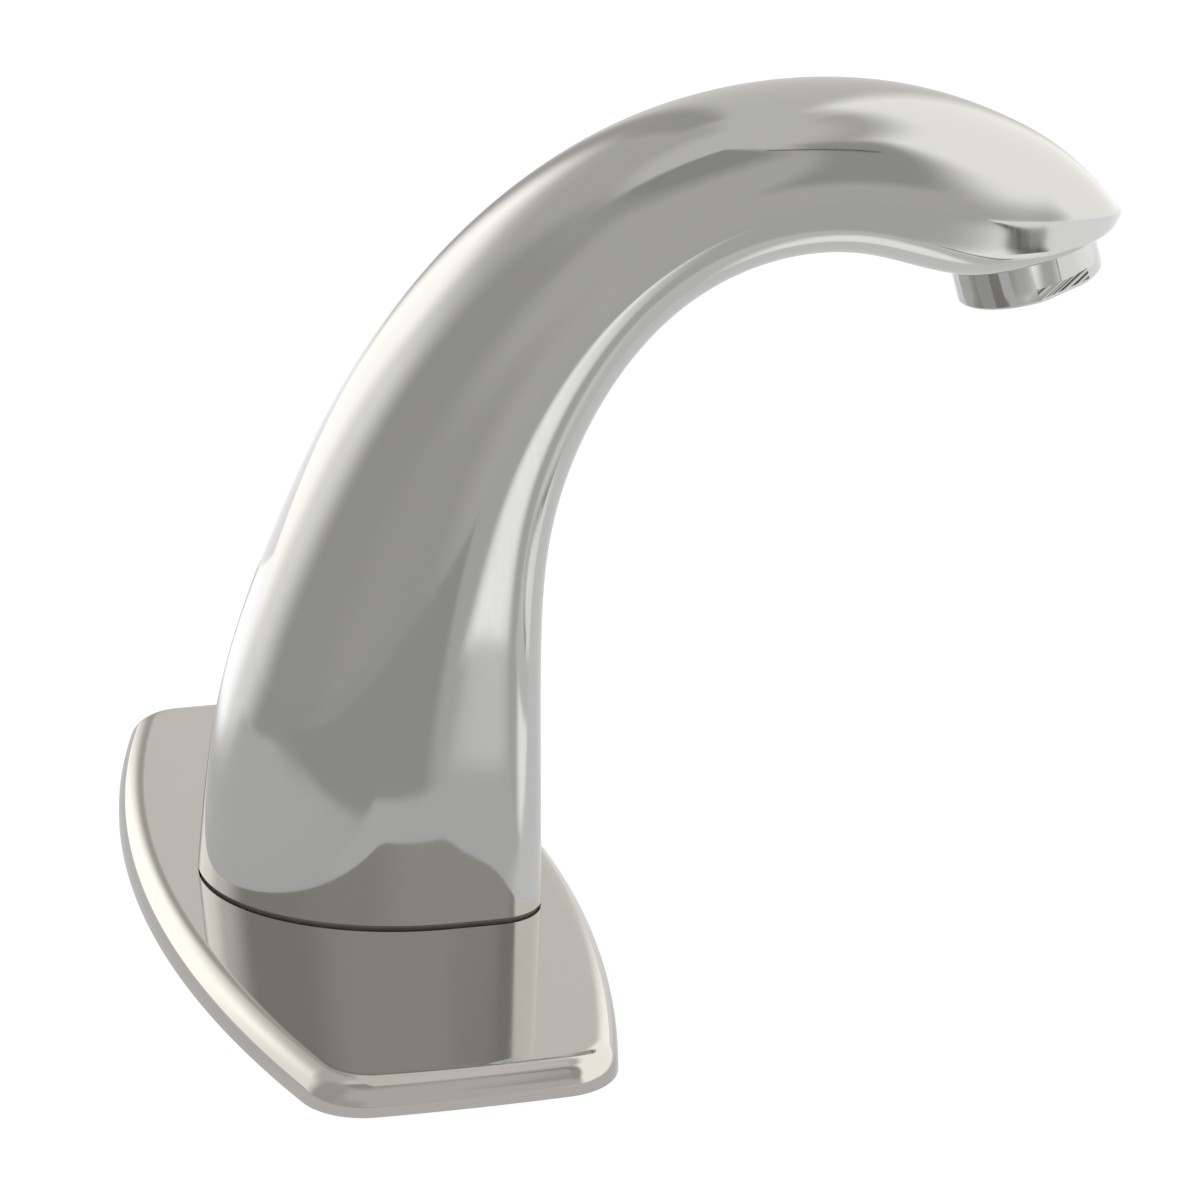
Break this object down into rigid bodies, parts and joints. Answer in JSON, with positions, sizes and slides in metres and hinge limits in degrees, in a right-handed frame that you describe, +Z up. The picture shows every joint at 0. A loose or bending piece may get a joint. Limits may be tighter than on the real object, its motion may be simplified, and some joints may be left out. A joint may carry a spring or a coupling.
{
  "type": "sensor tap",
  "caption": "Chrome deck-mounted sensor tap: swan-neck spout on a long cover plate, with an infrared sensor and solenoid valve inside.",
  "frame": {"origin": "centre of the cover plate's underside, in the plane of the deck, on the mounting shank's axis", "axes": "+Z up from the deck, -Y the way the spout reaches out over the basin, X along the cover plate"},
  "size_m": [0.1614, 0.1606, 0.2101],
  "materials": {
    "chrome_spout": "polished",
    "chrome_plate": "polished",
    "chrome_aerator": "polished",
    "black_rubber": "matte",
    "brass": "satin",
    "zinc_steel": "satin",
    "stainless_steel": "satin",
    "grey_plastic": "matte",
    "black_plastic": "matte",
    "white_plastic": "satin",
    "water_tubing": "satin",
    "dark_window": "glossy",
    "circuit_board": "satin",
    "clear_lens": "glossy",
    "dark_lens": "glossy",
    "cable_jacket": "matte"
  },
  "bodies": {
    "tap": {"spout_body": "chrome_spout", "deck_plate": "chrome_plate", "deck_gasket": "black_rubber", "spout_seal": "black_rubber", "tube_seal": "black_rubber", "sensor_gasket": "black_rubber", "valve_diaphragm": "black_rubber", "mounting_shank": "brass", "inlet_nipple": "brass", "base_screws": "stainless_steel", "bonnet_screws": "stainless_steel", "sensor_screws": "stainless_steel", "inlet_strainer": "stainless_steel", "plunger_spring": "stainless_steel", "coil_retainer": "stainless_steel", "base_insert": "grey_plastic", "shank_plug": "grey_plastic", "sensor_housing": "black_plastic", "power_socket": "black_plastic", "valve_coil": "black_plastic", "valve_body": "white_plastic", "valve_bonnet": "white_plastic", "inlet_tube": "water_tubing", "water_tube": "water_tubing", "sensor_window": "dark_window", "sensor_board": "circuit_board", "infrared_emitter": "clear_lens", "infrared_receiver": "dark_lens", "sensor_cable": "cable_jacket", "valve_lead": "cable_jacket"},
    "aerator_carrier": {"aerator_washer": "black_rubber"},
    "aerator": {"aerator_shell": "chrome_aerator", "aerator_cartridge": "white_plastic", "aerator_screen": "stainless_steel"},
    "washer_stack": {"rubber_washer": "black_rubber", "steel_washer": "zinc_steel"},
    "nut": {"mounting_nut": "brass"},
    "plunger": {"valve_plunger": "stainless_steel"},
    "pilot_insert": {"diaphragm_insert": "black_plastic"}
  },
  "joints": [
    {"name": "aerator_travel", "type": "slide", "parent": "tap", "child": "aerator_carrier", "axis": [0, -0.3032, -0.9529], "range_m": [0, 0.00502]},
    {"name": "aerator_turn", "type": "hinge", "parent": "aerator_carrier", "child": "aerator", "pos_m": [0, -0.1121, 0.0962], "axis": [0, -0.3032, -0.9529], "range_deg": [0, 1800]},
    {"name": "nut_travel", "type": "slide", "parent": "tap", "child": "washer_stack", "axis": [0, 0, 1], "range_m": [-0.01502, 0.01652]},
    {"name": "nut_turn", "type": "hinge", "parent": "washer_stack", "child": "nut", "pos_m": [0, 0, -0.029], "axis": [0, 0, 1], "range_deg": [-3600, 3960]},
    {"name": "plunger_lift", "type": "slide", "parent": "tap", "child": "plunger", "axis": [0, 0, 1], "range_m": [0, 0.0018], "stiffness_N_per_m": 250, "springref_m": -0.0015, "deforming": ["plunger_spring"]},
    {"name": "insert_lift", "type": "slide", "parent": "tap", "child": "pilot_insert", "axis": [0, 0, 1], "range_m": [0, 0.001]}
  ],
  "couplings": [
    {"joint": "aerator_travel", "follows": "aerator_turn", "m_per_rad": 0.00015915},
    {"joint": "nut_travel", "follows": "nut_turn", "m_per_rad": 0.00023873},
    {"joint": "insert_lift", "follows": "plunger_lift", "ratio": 0.555}
  ]
}
